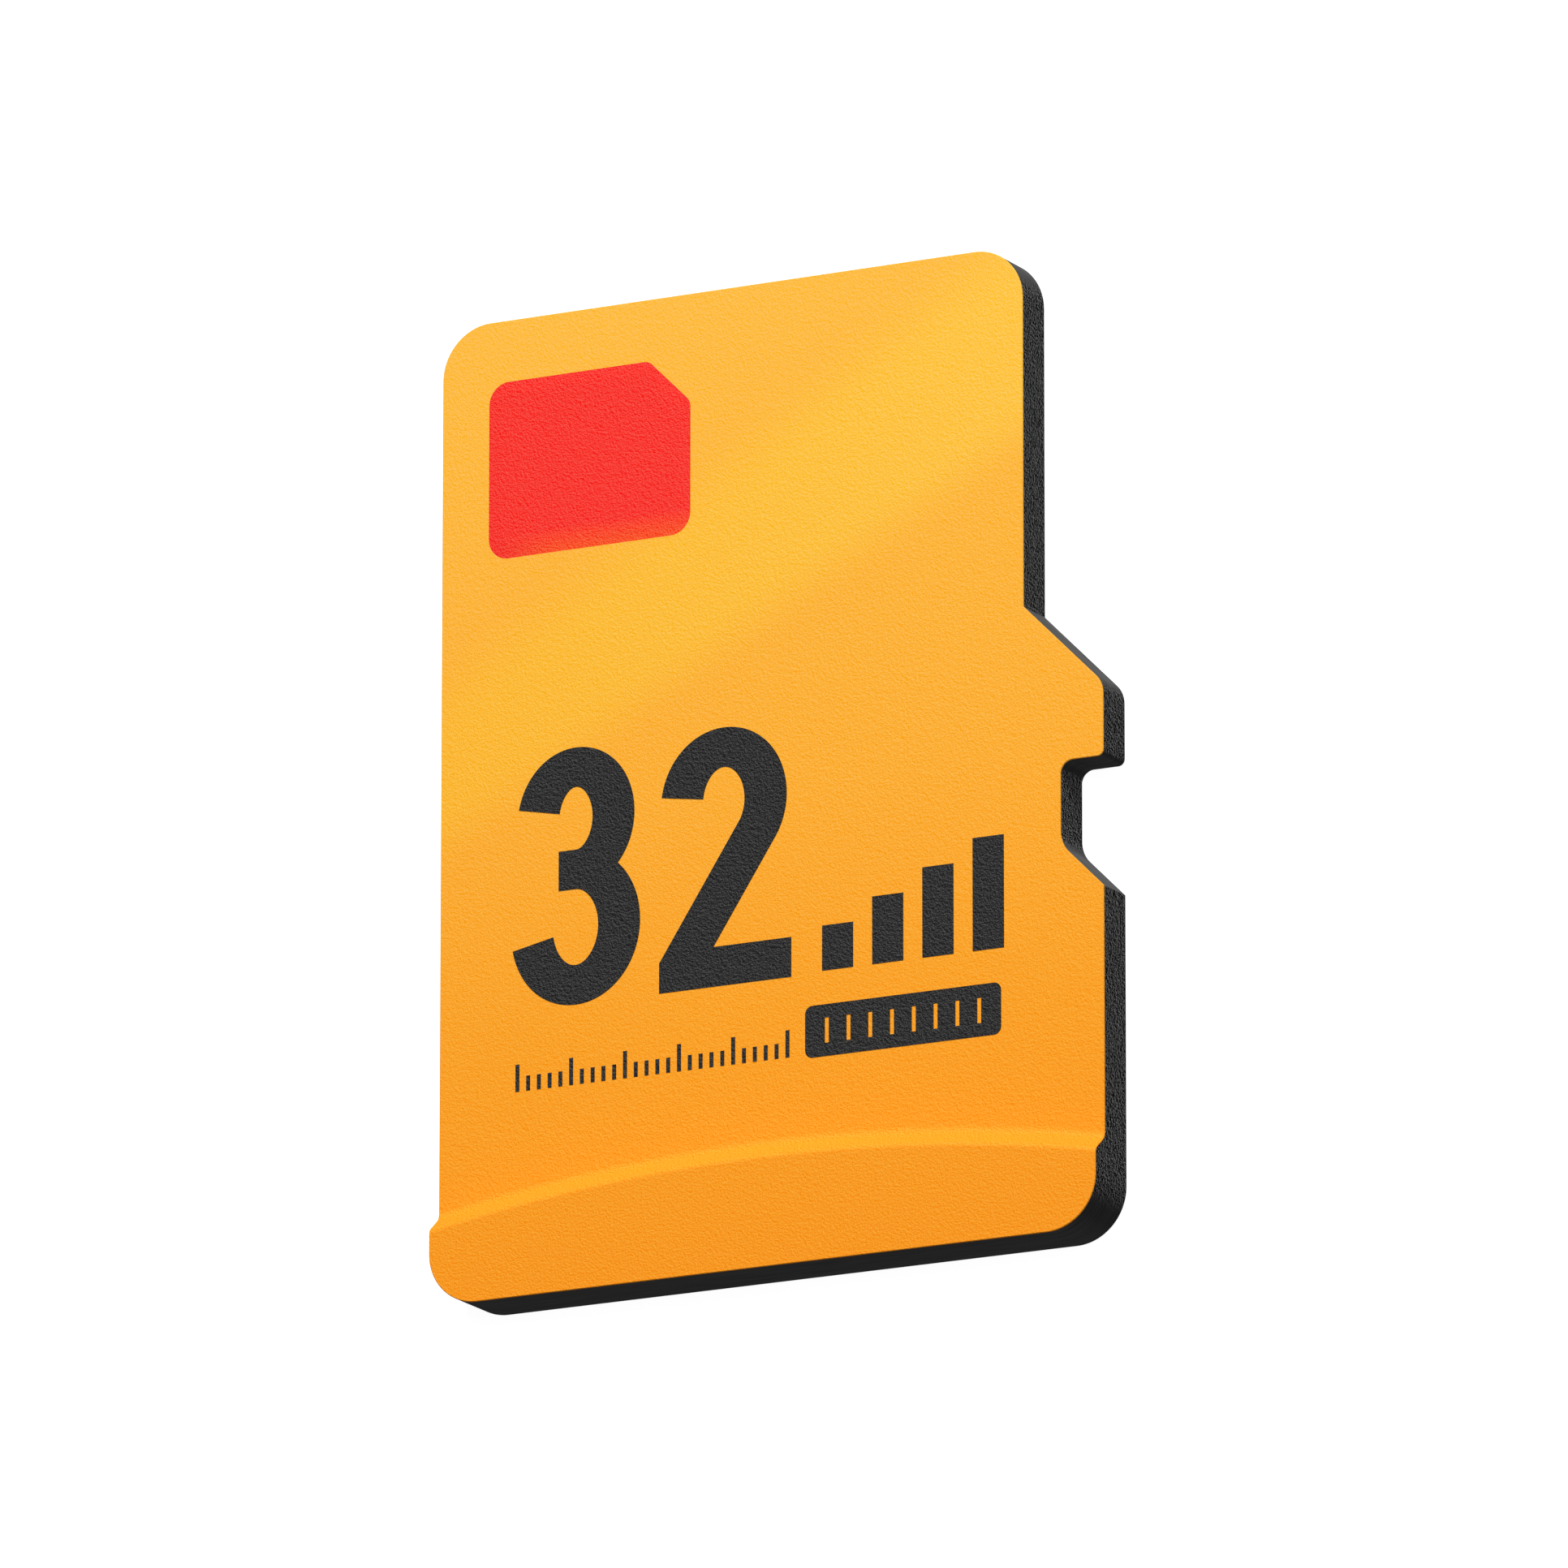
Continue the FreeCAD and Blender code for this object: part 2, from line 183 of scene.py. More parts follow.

# Black faces: greys of the grain, from dark to painted glints on the edge and with faint painted light on
# the mask, and painted light and shade on smooth faces by their turn from end to end
EDGE_GLINT_GREYS = (8, 200)
MASK_GREYS = (30, 48)
TURN_LIGHT_AND_SHADE_GREYS = ((0.0, 92), (0.15, 70), (0.4, 70), (0.6, 90), (0.85, 113), (1.0, 72))
STREAK_SIZE = Vector((0.8, 0.8, 0.04)) * MM
STREAK_FACTORS = ((0.3, (0.75, 0.75, 0.75, 1.0)), (0.7, (1.2, 1.2, 1.2, 1.0)))

# Metals and inner materials: sizes of the clouds in their tone and of the metals' relief
METAL_CLOUD = 0.4 * MM
METAL_RELIEF = 0.03 * MM
METAL_RELIEF_DEPTH = 0.001 * MM
METAL_RELIEF_STRENGTH = 0.5
METAL_SPREAD = (0.35, 0.65)
MOTTLED_SPREAD = (0.3, 0.7)
SILICON_CLOUD = 1.5 * MM
FILM_CLOUD = 0.3 * MM
CERAMIC_CLOUD = 0.1 * MM

# Camera in the row frame: where it stands, its axes and its lens for a square picture
CAMERA_PLACE = Vector((130.721, -73.291, 246.660)) * MM
CAMERA_RIGHT = Vector((0.883466, 0.000528, -0.468495))
CAMERA_UP = Vector((0.118517, 0.967221, 0.224584))
CAMERA_LENS = 450.9
CAMERA_SENSOR = 36.0
CAMERA_CLIP = (0.01, 10.0)

# Lights, as place and size in metres and power in watts, and the strength of the surround
KEY_LIGHT = ((0.018, 0.265, 0.233), 0.14, 1.36)
FILL_LIGHT = ((0.12, -0.05, 0.32), 0.25, 0.3)
SURROUND_STRENGTH = 0.09

# Floor: half its side, how far it lies under the card, its tone and its glow
FLOOR_HALF = 0.4
FLOOR_GAP = 0.01 * MM
FLOOR_TONE = (0.4, 0.4, 0.4, 1.0)
FLOOR_GLOW = 0.9

# Places that the solids give
body_low, body_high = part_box("moulded_body")
board_low, board_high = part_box("substrate_board")
mask_low, mask_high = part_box("back_solder_mask")
field_low, field_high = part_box("red_field")
coat_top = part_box("front_coat")[1].z
contact_nodes = [f"contact_{number}" for number in range(1, CONTACT_COUNT + 1)]
left, right = body_low.x, body_high.x
back_end, contact_end = body_low.y, body_high.y
face_level = field_low.z
coat_thickness = coat_top - body_high.z
lip_height = coat_top - face_level
arc_centre = Vector((0.0, back_end + LIP_DEPTH - LIP_ARC_RADIUS))


def card_corners():
    """Corners of the card's outline, clockwise from the contact end, with their radii."""
    nose_right = right - SHOULDER_STEP
    shoulder_start = contact_end - NOSE_LENGTH
    shoulder_end = shoulder_start - SHOULDER_STEP
    notch_start = shoulder_end - TOOTH_LENGTH
    notch_turn = notch_start - NOTCH_LENGTH
    notch_end = notch_turn - NOTCH_DEPTH
    return [
        (left, contact_end, CORNER_RADIUS),
        (nose_right, contact_end, CORNER_RADIUS),
        (nose_right, shoulder_start, 0.0),
        (right, shoulder_end, SHOULDER_RADIUS),
        (right, notch_start, TOOTH_RADIUS),
        (right - NOTCH_DEPTH, notch_start, NOTCH_ROOT_RADIUS),
        (right - NOTCH_DEPTH, notch_turn, NOTCH_SLOPE_RADIUS),
        (right, notch_end, 0.0),
        (right, back_end, CORNER_RADIUS),
        (left, back_end, CORNER_RADIUS),
    ]


def field_corners():
    """Corners of the red field with its cut corner, clockwise, with their radii."""
    return [
        (field_low.x, field_high.y, FIELD_RADIUS),
        (field_high.x - FIELD_CUT, field_high.y, FIELD_CUT_RADIUS),
        (field_high.x, field_high.y - FIELD_CUT, FIELD_CUT_RADIUS),
        (field_high.x, field_low.y, FIELD_RADIUS),
        (field_low.x, field_low.y, FIELD_RADIUS),
    ]


def box_corners(low, high, radius):
    """Corners of a rounded rectangle, clockwise, with their radii."""
    return [
        (low.x, high.y, radius),
        (high.x, high.y, radius),
        (high.x, low.y, radius),
        (low.x, low.y, radius),
    ]


def box_path(x0, x1, y0, y1):
    """Rectangle as a clockwise flat path."""
    return [Vector((x0, y1)), Vector((x1, y1)), Vector((x1, y0)), Vector((x0, y0))]


def inward(way):
    """Direction to the right of a way, which points inwards on a clockwise outline."""
    return Vector((way.y, -way.x))


def corner_arc(corner, arriving, leaving, radius, inset):
    """Points of a corner's arc; the corner is already moved inwards by inset, the radius isn't."""
    side = 1 if arriving.cross(leaving) < 0 else -1
    radius -= side * inset
    turn = arriving.angle(leaving)
    start = corner - arriving * radius * math.tan(turn / 2)
    centre = start + inward(arriving) * side * radius
    steps = math.ceil(turn / ARC_STEP)
    spins = [Matrix.Rotation(-side * turn * step / steps, 2) for step in range(steps + 1)]
    return [centre + spin @ (start - centre) for spin in spins]


def rounded_path(corners, inset=0.0):
    """Points of a clockwise outline, moved inwards by inset, with an arc at each rounded corner."""
    points = [Vector((x, y)) for x, y, _ in corners]
    path = []
    for index, point in enumerate(points):
        radius = corners[index][2]
        arriving = (point - points[index - 1]).normalized()
        leaving = (points[(index + 1) % len(points)] - point).normalized()
        both = inward(arriving) + inward(leaving)
        moved = point + both * inset / (1 + inward(arriving).dot(inward(leaving)))
        if radius == 0:
            path.append(moved)
        else:
            path += corner_arc(moved, arriving, leaving, radius, inset)
    return path


def mesh_piece(name, faces, finish):
    """Piece that rides on the card, from faces given as lists of points, welded where they meet."""
    bm = bmesh.new()
    made = {}
    for face in faces:
        corners = []
        for point in face:
            key = tuple(round(value, WELD_DIGITS) for value in point)
            if key not in made:
                made[key] = bm.verts.new(point)
            if made[key] not in corners:
                corners.append(made[key])
        if len(corners) > 2:
            bm.faces.new(corners)
    bmesh.ops.recalc_face_normals(bm, faces=bm.faces)
    mesh = bpy.data.meshes.new(name)
    bm.to_mesh(mesh)
    bm.free()
    mesh.shade_smooth()
    mesh.set_sharp_from_angle(angle=SHARP_ANGLE)
    # Quads lie on walls and ramps, all other faces are flat
    for polygon in mesh.polygons:
        polygon.use_smooth = len(polygon.vertices) == 4
    mesh.materials.append(finish)
    piece = bpy.data.objects.new(name, mesh)
    bpy.context.scene.collection.objects.link(piece)
    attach(piece, "root")
    return piece


def at_height(path, z):
    """Points of a flat path at one level."""
    return [(point.x, point.y, z) for point in path]


def walls(lower, upper):
    """Quads between two loops of equally many points."""
    count = len(lower)
    return [
        [lower[i], lower[(i + 1) % count], upper[(i + 1) % count], upper[i]] for i in range(count)
    ]


def plate_faces(corners, low, high, edge):
    """Faces of a flat plate whose upper and lower rims are softened by edge."""
    loops = [
        at_height(rounded_path(corners, edge), low),
        at_height(rounded_path(corners), low + edge),
        at_height(rounded_path(corners), high - edge),
        at_height(rounded_path(corners, edge), high),
    ]
    faces = [loops[0], loops[-1]]
    for lower, upper in zip(loops, loops[1:]):
        faces += walls(lower, upper)
    return faces


def filled(paths, holes):
    """Points and triangles inside clockwise flat paths: their union, or the first less the others."""
    points = []
    rings = []
    for path in paths:
        rings.append(list(range(len(points), len(points) + len(path))))
        points += path[::-1]
    made = delaunay_2d_cdt(points, [], rings, INSIDE_RINGS, FILL_TOLERANCE)
    corners, _, triangles, _, _, rings_round = made
    if holes:
        triangles = [face for face, around in zip(triangles, rings_round) if len(around) == 1]
    return corners, triangles


def ink_piece(name, paths, finish, holes=False):
    """Thin printed shape on the coat, filled from flat paths."""
    points, triangles = filled(paths, holes)
    low, high = face_level, face_level + INK_HEIGHT
    faces = []
    rim = {}
    for triangle in triangles:
        corners = [points[index] for index in triangle]
        faces += [at_height(corners, low), at_height(corners, high)]
        for a, b in zip(triangle, triangle[1:] + triangle[:1]):
            key = frozenset((a, b))
            rim[key] = None if key in rim else (points[a], points[b])
    for a, b in filter(None, rim.values()):
        faces.append(at_height((a, b), low) + at_height((b, a), high))
    return mesh_piece(name, faces, finish)


def ramp_stations():
    """Ramp's section, two arcs joined by a slope: distance from the arc's centre and height."""
    crest_run = RAMP_CREST_RADIUS * math.sin(RAMP_ANGLE)
    crest_drop = RAMP_CREST_RADIUS * (1 - math.cos(RAMP_ANGLE))
    root_run = RAMP_ROOT_RADIUS * math.sin(RAMP_ANGLE)
    root_rise = RAMP_ROOT_RADIUS * (1 - math.cos(RAMP_ANGLE))
    slope_run = (lip_height - crest_drop - root_rise) / math.tan(RAMP_ANGLE)
    crest_start = LIP_ARC_RADIUS - (crest_run + slope_run + root_run) / 2
    root_end = crest_start + crest_run + slope_run + root_run
    angles = [RAMP_ANGLE * step / RAMP_ARC_POINTS for step in range(RAMP_ARC_POINTS + 1)]
    crest = [
        (crest_start + RAMP_CREST_RADIUS * math.sin(a), lip_height - RAMP_CREST_RADIUS * (1 - math.cos(a)))
        for a in angles
    ]
    root = [
        (root_end - RAMP_ROOT_RADIUS * math.sin(a), RAMP_ROOT_RADIUS * (1 - math.cos(a)))
        for a in reversed(angles)
    ]
    return crest + root


stations = ramp_stations()
crest_distance = stations[0][0]
root_distance = stations[-1][0]


def front_height(point):
    """Height of the front over its main face at a flat point."""
    distance = (point - arc_centre).length
    if distance <= crest_distance:
        return lip_height
    for (near, near_height), (far, far_height) in zip(stations, stations[1:]):
        if distance <= far:
            return near_height + (far_height - near_height) * (distance - near) / (far - near)
    return 0.0


def front_points(path, level):
    """Points of a flat path raised onto the front, with its main face at level."""
    return [(point.x, point.y, level + front_height(point)) for point in path]


def station_point(x, distance):
    """Flat point of a ramp arc at one x."""
    return Vector((x, arc_centre.y + math.sqrt(distance * distance - x * x)))


def front_loop(inset):
    """Card outline with points where the ramp's arcs meet the long edges."""
    path = rounded_path(card_corners(), inset)
    loop = []
    for index, start in enumerate(path):
        end = path[(index + 1) % len(path)]
        loop.append(start)
        if abs(start.x - end.x) > SAME_PLACE:
            continue
        crossings = [station_point(start.x, distance) for distance, _ in stations]
        crossings = [p for p in crossings if min(start.y, end.y) < p.y < max(start.y, end.y)]
        loop += sorted(crossings, key=lambda p: (p - start).length)
    return loop


def front_surface(inset, level):
    """Faces of the front, moved inwards by inset, with its main face at level."""
    loop = front_loop(inset)
    half = right - inset
    columns = [half * (2 * j / RAMP_COLUMNS - 1) for j in range(RAMP_COLUMNS + 1)]
    rows = [[station_point(x, distance) for x in columns] for distance, _ in stations]
    faces = []
    for row, next_row in zip(rows, rows[1:]):
        for j in range(RAMP_COLUMNS):
            quad = (row[j], row[j + 1], next_row[j + 1], next_row[j])
            faces.append(front_points(quad, level))
    lip = [p for p in loop if (p - arc_centre).length < crest_distance - SAME_PLACE]
    face = [p for p in loop if (p - arc_centre).length > root_distance + SAME_PLACE]
    faces.append(front_points(lip + rows[0], level))
    faces.append(front_points(face + rows[-1][::-1], level))
    return faces


def material(name, roughness, specular=0.3, metallic=0.0):
    """Material with a Principled shader, and what is needed to add nodes to it."""
    made = bpy.data.materials.new(name)
    made.use_nodes = True
    tree = made.node_tree
    shader = tree.nodes["Principled BSDF"]
    shader.inputs["Roughness"].default_value = roughness
    shader.inputs["Specular IOR Level"].default_value = specular
    shader.inputs["Metallic"].default_value = metallic
    return made, tree, shader


def linear(red, green, blue):
    """Linear colour from eight-bit display values."""
    def channel(value):
        value /= 255
        return value / 12.92 if value <= 0.04045 else ((value + 0.055) / 1.055) ** 2.4
    return (channel(red), channel(green), channel(blue), 1.0)


def colour_stops(stops):
    """Colour stops from places and eight-bit colours."""
    return [(place, linear(*colour)) for place, colour in stops]


def grey_stops(stops):
    """Colour stops from places and eight-bit greys."""
    return [(place, linear(grey, grey, grey)) for place, grey in stops]


def feed(tree, socket, value):
    """Link an output to a socket, or set the socket's own value."""
    if isinstance(value, bpy.types.NodeSocket):
        tree.links.new(value, socket)
    else:
        socket.default_value = value


def node(tree, kind, **values):
    """Shader node with its settings, and its inputs linked or set."""
    made = tree.nodes.new(kind)
    for name, value in values.items():
        if hasattr(made, name):
            setattr(made, name, value)
        else:
            feed(tree, made.inputs[name], value)
    return made


def maths(tree, operation, first, second=0.0):
    """Result of a Math node on outputs or numbers."""
    made = node(tree, "ShaderNodeMath", operation=operation)
    feed(tree, made.inputs[0], first)
    feed(tree, made.inputs[1], second)
    return made.outputs["Value"]


def vectors(tree, operation, first, second):
    """Result of a Vector Math node on outputs or vectors."""
    made = node(tree, "ShaderNodeVectorMath", operation=operation)
    feed(tree, made.inputs[0], first)
    feed(tree, made.inputs[1], second)
    return made.outputs["Vector"]


def axes(tree, vector):
    """Outputs X, Y and Z of a vector."""
    return node(tree, "ShaderNodeSeparateXYZ", Vector=vector).outputs


def ranged(tree, value, low, high, smooth=False):
    """Value mapped from low..high to 0..1."""
    made = node(tree, "ShaderNodeMapRange", Value=value)
    made.interpolation_type = "SMOOTHSTEP" if smooth else "LINEAR"
    made.inputs["From Min"].default_value = low
    made.inputs["From Max"].default_value = high
    return made.outputs["Result"]


def graded(tree, value, stops):
    """Colour ramp over a value from 0 to 1, from (place, colour) stops."""
    ramp = node(tree, "ShaderNodeValToRGB", Fac=value)
    elements = ramp.color_ramp.elements
    elements[0].position, elements[0].color = stops[0]
    elements[1].position, elements[1].color = stops[-1]
    for position, colour in stops[1:-1]:
        elements.new(position).color = colour
    return ramp.outputs["Color"]


def mixed(tree, factor, first, second, blend="MIX"):
    """Two colours mixed by a factor; colours are outputs or values."""
    made = node(tree, "ShaderNodeMix", data_type="RGBA", blend_type=blend)
    sockets = {socket.identifier: socket for socket in made.inputs}
    feed(tree, sockets["Factor_Float"], factor)
    feed(tree, sockets["A_Color"], first)
    feed(tree, sockets["B_Color"], second)
    return next(socket for socket in made.outputs if socket.identifier == "Result_Color")


def noise(tree, place, size, detail, **settings):
    """Height from 0 to 1 of noise at a place, with features of one size."""
    made = node(tree, "ShaderNodeTexNoise", Vector=place, Scale=1 / size, Detail=detail, **settings)
    return made.outputs["Fac"]


def relief(tree, shader, height, depth, strength):
    """Bump on a shader from a height of 0 to 1."""
    bump = node(tree, "ShaderNodeBump", Height=height, Distance=depth, Strength=strength)
    feed(tree, shader.inputs["Normal"], bump.outputs["Normal"])


def place_of(tree):
    """Output with the surface point in the row frame, in metres."""
    return node(tree, "ShaderNodeTexCoord").outputs["Object"]


def facing(tree):
    """Output with the direction that a surface looks in."""
    return node(tree, "ShaderNodeNewGeometry").outputs["Normal"]


def turn_to_end(tree):
    """How far a face turns towards the contact end, from -1 on the back end to 1 on the contact end."""
    return axes(tree, facing(tree))["Y"]


def grained_share(tree):
    """1 on faces along the card, falling to 0 on faces that turn towards either end."""
    turned = maths(tree, "ABSOLUTE", turn_to_end(tree))
    return ranged(tree, turned, *GRAIN_FADE, smooth=True)


def grain_height(tree, place):
    """Height of the pebble grain at a place: grains on swells twice as large."""
    return noise(tree, place, GRAIN_SWELL, detail=1.0, Roughness=1.0, Distortion=0.5)


def pebble(tree, shader, depth, lean_to, limits, share=1.0):
    """Pebble grain as bump on a shader, by a share; returns how far each spot leans to a side, 0 to 1,
    which the materials paint as light and shade.
    """
    place = place_of(tree)
    height = grain_height(tree, place)
    step = lean_to * GRAIN_SIZE
    across_face = vectors(tree, "PROJECT", step, facing(tree))
    along_face = vectors(tree, "SUBTRACT", step, across_face)
    beyond = grain_height(tree, vectors(tree, "ADD", place, along_face))
    relief(tree, shader, height, depth, share)
    return ranged(tree, maths(tree, "SUBTRACT", height, beyond), *limits)


def grain_graded(tree, grain, tones):
    """Colour of the grain between a tone of painted shade and a tone of painted light."""
    return graded(tree, grain, colour_stops(zip(GRAIN_TONES, tones)))


def past_line(tree, at, slope):
    """Distance along the card from a line of one slope through its middle."""
    return maths(tree, "SUBTRACT", at["Y"], maths(tree, "MULTIPLY", at["X"], slope))


def painted_highlight_strength(tree, at):
    """How far the painted highlight band shows at a place; it is whole at the right edge and fades to the
    left.
    """
    rise = ranged(tree, past_line(tree, at, BAND_LOW_SLOPE), *BAND_LOW_EDGE, smooth=True)
    fall = ranged(tree, past_line(tree, at, BAND_HIGH_SLOPE), *BAND_HIGH_EDGE, smooth=True)
    one_width_off = left - (right - left)
    side = ranged(tree, at["X"], one_width_off, right)
    return maths(tree, "MULTIPLY", maths(tree, "MULTIPLY", rise, fall), side)


def coat_material():
    """Orange print, lighter towards the contact end partly as painted light, with a pale slanting band of
    painted highlight and a pebble grain with painted light and shade on its sides.
    """
    made, tree, shader = material("printed_orange_and_painted_light", PRINT_ROUGHNESS, COAT_SPECULAR)
    grain = pebble(tree, shader, PRINT_GRAIN_DEPTH, FRONT_LEAN, COAT_LIMITS)
    at = axes(tree, place_of(tree))
    along = ranged(tree, at["Y"], back_end, contact_end)
    across = ranged(tree, at["X"], left, right)
    # Tones along the card: partly print, partly painted light that grows towards the contact end
    base = graded(tree, along, colour_stops(COAT_PRINT_AND_LIGHT_STOPS))
    # Painted highlight: the pale band mixed into the coat's colour
    pale = graded(tree, across, colour_stops(PAINTED_HIGHLIGHT_STOPS))
    lit = mixed(tree, painted_highlight_strength(tree, at), base, pale)
    # Painted shade: factors that darken the grains' sides that lean from the light, more towards the back
    # end
    grain_shade_factor = graded(tree, along, GRAIN_SHADE_FACTORS)
    shade = mixed(tree, ranged(tree, grain, *GRAIN_TONES), grain_shade_factor, WHITE)
    feed(tree, shader.inputs["Base Color"], mixed(tree, 1.0, lit, shade, "MULTIPLY"))
    return made


def red_material():
    """Red print that turns a little orange along its lower edge, with painted light and shade on the sides
    of its grains.
    """
    made, tree, shader = material("printed_red_and_painted_grain_light", PRINT_ROUGHNESS, INK_SPECULAR)
    grain = pebble(tree, shader, PRINT_GRAIN_DEPTH, FRONT_LEAN, COAT_LIMITS)
    at = axes(tree, place_of(tree))
    edge = ranged(tree, at["Y"], field_low.y + WARM_REACH, field_low.y - WARM_OVERRUN)
    side = ranged(tree, at["X"], field_low.x, field_low.x + WARM_SIDE, smooth=True)
    warmth = maths(tree, "MULTIPLY", edge, side)
    red = grain_graded(tree, grain, RED_TONES)
    warm = grain_graded(tree, grain, WARM_TONES)
    feed(tree, shader.inputs["Base Color"], mixed(tree, warmth, red, warm))
    return made


def ink_material():
    """Dark ink over the grain, a little lighter on the sides of the grains that lean towards the light, as
    painted light.
    """
    made, tree, shader = material("printed_charcoal_and_painted_grain_light", INK_ROUGHNESS, INK_SPECULAR)
    grain = pebble(tree, shader, PRINT_GRAIN_DEPTH, FRONT_LEAN, INK_LIMITS)
    feed(tree, shader.inputs["Base Color"], grain_graded(tree, grain, INK_TONES))
    return made


def edge_streaks(tree):
    """Faint streaks along the card's edge, as a factor about 1."""
    stretched = vectors(tree, "DIVIDE", place_of(tree), STREAK_SIZE)
    return graded(tree, noise(tree, stretched, size=1.0, detail=2.0), STREAK_FACTORS)


def black_material(name, greys, roughness, specular, depth):
    """Black surface, grained with painted glints on faces along the card, and on those that turn to an end
    faintly streaked and given painted light and shade by their turn.
    """
    made, tree, shader = material(name, roughness, specular)
    share = grained_share(tree)
    grain = pebble(tree, shader, depth, EDGE_LEAN, SPARKLE_LIMITS, share)
    # Painted glints: the grains' sides that lean towards the light turn bright
    grained = graded(tree, grain, grey_stops(zip((0.0, 1.0), greys)))
    turn = ranged(tree, turn_to_end(tree), -1.0, 1.0)
    # Painted light and shade on smooth faces by how far they turn towards the contact end
    smooth = graded(tree, turn, grey_stops(TURN_LIGHT_AND_SHADE_GREYS))
    streaked = mixed(tree, 1.0, smooth, edge_streaks(tree), "MULTIPLY")
    feed(tree, shader.inputs["Base Color"], mixed(tree, share, streaked, grained))
    return made


def metal_material(name, dull, bright, roughness):
    """Plated metal with fine uneven gloss, between two eight-bit colours."""
    made, tree, shader = material(name, roughness, specular=0.5, metallic=1.0)
    cloud = noise(tree, place_of(tree), METAL_CLOUD, detail=4.0)
    tone = graded(tree, cloud, colour_stops(zip(METAL_SPREAD, (dull, bright))))
    feed(tree, shader.inputs["Base Color"], tone)
    fine = noise(tree, place_of(tree), METAL_RELIEF, detail=2.0)
    relief(tree, shader, fine, METAL_RELIEF_DEPTH, METAL_RELIEF_STRENGTH)
    return made


def mottled_material(name, dark, light, size, roughness):
    """Inner material with a soft uneven tone, between two eight-bit colours."""
    made, tree, shader = material(name, roughness)
    cloud = noise(tree, place_of(tree), size, detail=3.0)
    tone = graded(tree, cloud, colour_stops(zip(MOTTLED_SPREAD, (dark, light))))
    feed(tree, shader.inputs["Base Color"], tone)
    return made


def front_coat(finish):
    """Orange coat over the whole front, with a soft upper rim."""
    under = face_level - coat_thickness
    lower = front_points(front_loop(0.0), under)
    middle = front_points(front_loop(0.0), face_level - COAT_EDGE)
    upper = front_points(front_loop(COAT_EDGE), face_level)
    faces = front_surface(COAT_EDGE, face_level) + front_surface(0.0, under)
    faces += walls(lower, middle) + walls(middle, upper)
    piece = mesh_piece("front_print", faces, finish)
    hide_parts("front_coat")


def hollow_out(piece, low, high):
    """Cut out of a piece the room of each sealed node whose middle lies between two levels."""
    for name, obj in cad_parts.items():
        node_low, node_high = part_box(name)
        if low < (node_low.z + node_high.z) / 2 < high and name not in SHELL_NODES:
            cut = piece.modifiers.new(name, "BOOLEAN")
            cut.operation = "DIFFERENCE"
            cut.solver = "EXACT"
            cut.object = obj
    graph = bpy.context.evaluated_depsgraph_get()
    mesh = bpy.data.meshes.new_from_object(piece.evaluated_get(graph))
    mesh.name = piece.name
    piece.modifiers.clear()
    piece.data = mesh


def body(finish):
    """Black body under the coat, down to the board."""
    under = face_level - coat_thickness
    upper = front_points(front_loop(0.0), under)
    lower = at_height(front_loop(0.0), body_low.z)
    faces = front_surface(0.0, under) + walls(lower, upper) + [lower]
    piece = mesh_piece("epoxy_body", faces, finish)
    hollow_out(piece, body_low.z, body_high.z)
    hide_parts("moulded_body")


def board(finish):
    """Laminate board, seen only at the card's edge."""
    faces = plate_faces(card_corners(), board_low.z, board_high.z, 0.0)
    piece = mesh_piece("laminate_board", faces, finish)
    hollow_out(piece, board_low.z, board_high.z)
    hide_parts("substrate_board")


def pad_window(name):
    """Flat path of the window in the mask round one contact."""
    pad_low, pad_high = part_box(name)
    return rounded_path(box_corners(pad_low, pad_high, CONTACT_RADIUS), -WINDOW_CLEARANCE)


def solder_mask(finish):
    """Mask film on the back with a window round each contact and a soft lower rim."""
    outer = rounded_path(card_corners())
    inset = rounded_path(card_corners(), MASK_EDGE)
    windows = [pad_window(name) for name in contact_nodes]
    faces = []
    for path, z in ((inset, mask_low.z), (outer, mask_high.z)):
        points, triangles = filled([path] + windows, holes=True)
        faces += [at_height([points[index] for index in triangle], z) for triangle in triangles]
    middle = at_height(outer, mask_low.z + MASK_EDGE)
    faces += walls(at_height(inset, mask_low.z), middle)
    faces += walls(middle, at_height(outer, mask_high.z))
    for window in windows:
        faces += walls(at_height(window, mask_low.z), at_height(window, mask_high.z))
    piece = mesh_piece("solder_mask_film", faces, finish)
    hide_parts("back_solder_mask")


def contacts(finish):
    """Gold pads with softened rims."""
    for number, name in enumerate(contact_nodes, start=1):
        low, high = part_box(name)
        corners = box_corners(low, high, CONTACT_RADIUS)
        faces = plate_faces(corners, low.z, high.z, PAD_EDGE)
        piece = mesh_piece(f"gold_pad_{number}", faces, finish)
        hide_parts(name)


def red_field(finish):
    """Red printed field that rises softly from its rim."""
    rim = at_height(rounded_path(field_corners()), field_low.z)
    top = at_height(rounded_path(field_corners(), FIELD_EDGE), field_high.z)
    piece = mesh_piece("red_print", [rim, top] + walls(rim, top), finish)
    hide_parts("red_field")


def oval_line(centre, across, up, start, end):
    """Points on an oval from one angle to another, in degrees."""
    steps = math.ceil(abs(math.radians(end - start)) / ARC_STEP)
    angles = [math.radians(start + (end - start) * i / steps) for i in range(steps + 1)]
    return [Vector((centre[0] + across * math.cos(a), centre[1] + up * math.sin(a))) for a in angles]


def stroke(line):
    """Outline of a stroke along a line: upright runs are STEM wide and level runs BAR thick."""
    one_side = []
    other_side = []
    for index, point in enumerate(line):
        way = (line[min(index + 1, len(line) - 1)] - line[max(index - 1, 0)]).normalized()
        half = math.hypot(STEM * way.y, BAR * way.x) / 2
        shift = Vector((-way.y, way.x)) * half
        one_side.append(point + shift)
        other_side.append(point - shift)
    return one_side + other_side[::-1]


